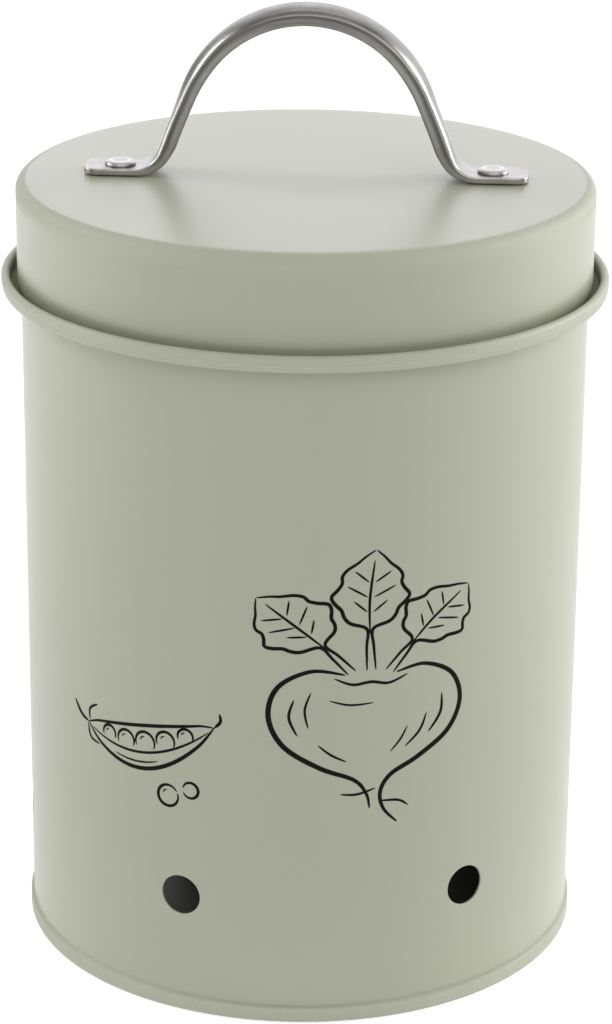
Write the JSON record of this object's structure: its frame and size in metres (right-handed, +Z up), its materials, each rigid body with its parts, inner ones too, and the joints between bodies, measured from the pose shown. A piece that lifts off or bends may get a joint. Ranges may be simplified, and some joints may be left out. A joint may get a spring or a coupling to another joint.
{
  "type": "vegetable storage canister",
  "caption": "Round coated steel keeper for bulbs, with low vents, a slip-on lid and a riveted steel strap handle.",
  "frame": {"origin": "centre of the ring that the keeper stands on, at the surface it rests on", "axes": "+Z up through the lid, -Y to the front midway between two vents, +X to the right"},
  "size_m": [0.124, 0.124, 0.1972],
  "materials": {
    "coated_steel": "satin sage-green powder coat",
    "brushed_steel": "satin brushed along the strap",
    "rivet_metal": "bright pressed head"
  },
  "bodies": {
    "canister": {"body_wall": "coated_steel", "base_plate": "coated_steel", "neck_ring": "coated_steel"},
    "lid": {"lid_shell": "coated_steel", "handle": "brushed_steel", "handle_rivet_left": "rivet_metal", "handle_rivet_right": "rivet_metal"}
  },
  "joints": [
    {"name": "lid_lift", "type": "slide", "parent": "canister", "child": "lid", "axis": [0, 0, 1], "range_m": [0, 0.08]}
  ]
}
